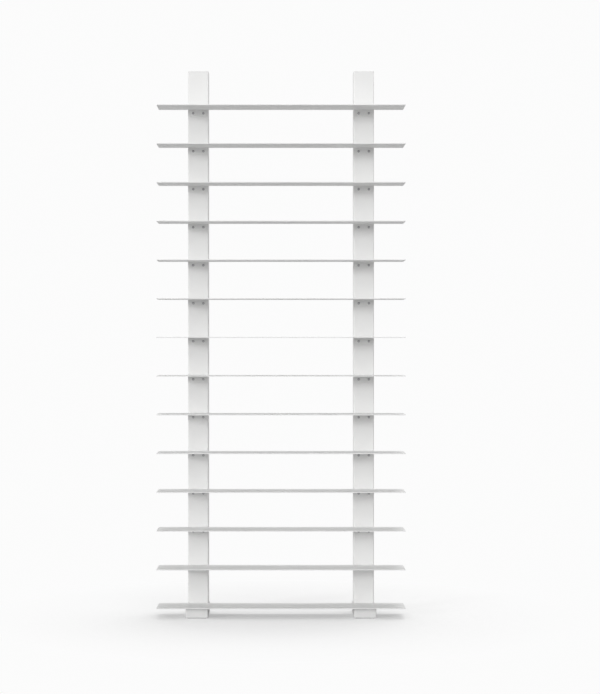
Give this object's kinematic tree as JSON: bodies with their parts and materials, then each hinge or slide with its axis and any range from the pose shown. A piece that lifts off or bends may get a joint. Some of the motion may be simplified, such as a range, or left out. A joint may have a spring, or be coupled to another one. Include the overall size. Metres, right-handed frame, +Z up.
{
  "type": "spine bookshelf",
  "caption": "Tall open bookshelf: thin white steel shelves screwed by bent-down tabs to two channel posts, for books laid flat against a wall.",
  "frame": {"origin": "on the floor, in the middle of the width and of the depth from the shelf fronts to the wall", "axes": "+X to the right as seen from the front, +Y into the wall, +Z up"},
  "size_m": [0.9, 0.225, 2],
  "materials": {
    "white_coat": "fine-textured matt white powder coat on sheet steel",
    "white_plastic": "moulded white plastic",
    "screw_steel": "plain stainless steel, slightly dulled",
    "nut_steel": "zinc-plated steel",
    "pad_rubber": "grey rubber"
  },
  "bodies": {
    "root": {"shelf_01": "white_coat", "shelf_02": "white_coat", "shelf_03": "white_coat", "shelf_04": "white_coat", "shelf_05": "white_coat", "shelf_06": "white_coat", "shelf_07": "white_coat", "shelf_08": "white_coat", "shelf_09": "white_coat", "shelf_10": "white_coat", "shelf_11": "white_coat", "shelf_12": "white_coat", "shelf_13": "white_coat", "shelf_14": "white_coat", "post_left": "white_coat", "foot_left": "white_coat", "wall_bracket_left": "white_coat", "post_cap_left": "white_plastic", "floor_pads_left": "pad_rubber", "shelf_screws_left": "screw_steel", "foot_screws_left": "screw_steel", "bracket_screws_left": "screw_steel", "nut_plates_left": "nut_steel", "foot_nuts_left": "nut_steel", "bracket_nuts_left": "nut_steel", "post_right": "white_coat", "foot_right": "white_coat", "wall_bracket_right": "white_coat", "post_cap_right": "white_plastic", "floor_pads_right": "pad_rubber", "shelf_screws_right": "screw_steel", "foot_screws_right": "screw_steel", "bracket_screws_right": "screw_steel", "nut_plates_right": "nut_steel", "foot_nuts_right": "nut_steel", "bracket_nuts_right": "nut_steel"}
  },
  "joints": []
}
